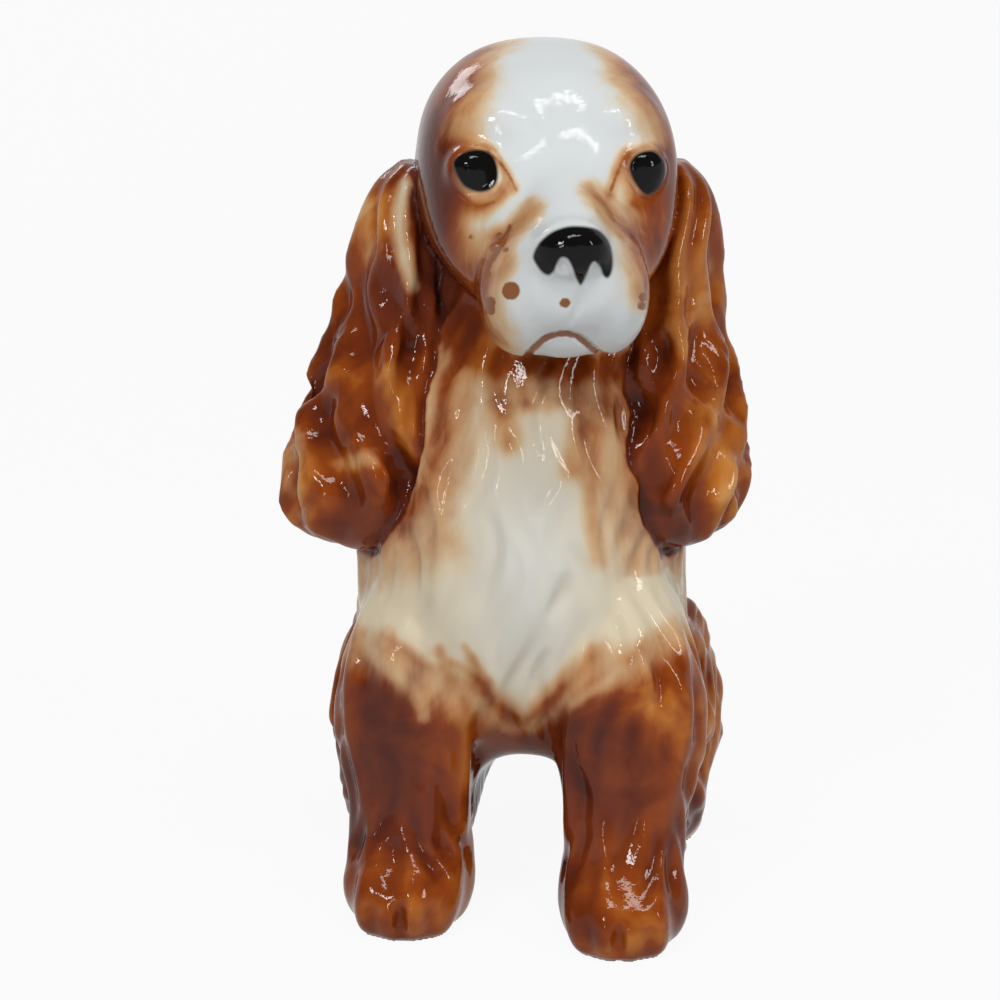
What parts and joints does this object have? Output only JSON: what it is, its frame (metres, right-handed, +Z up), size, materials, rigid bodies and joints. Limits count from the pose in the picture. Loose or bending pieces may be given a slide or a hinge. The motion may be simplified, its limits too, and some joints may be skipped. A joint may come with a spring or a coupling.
{
  "type": "seated spaniel figurine",
  "caption": "Seated spaniel ornament, cast hollow, with long curled ears, separate forelegs and an open arch under the belly.",
  "frame": {"origin": "on the ground under the middle of the figure's outline", "axes": "+Z up, -Y the way that the dog faces, +X the dog's own left side"},
  "size_m": [0.077, 0.0967, 0.1401],
  "materials": {
    "cream_glaze": "glossy",
    "chestnut_glaze": "glossy"
  },
  "bodies": {
    "root": {"torso_shell": "cream_glaze", "head_shell": "cream_glaze", "left_ear": "chestnut_glaze", "right_ear": "chestnut_glaze", "left_foreleg": "chestnut_glaze", "right_foreleg": "chestnut_glaze", "left_haunch": "chestnut_glaze", "right_haunch": "chestnut_glaze", "left_hind_paw": "chestnut_glaze", "right_hind_paw": "chestnut_glaze", "tail": "chestnut_glaze"}
  },
  "joints": []
}
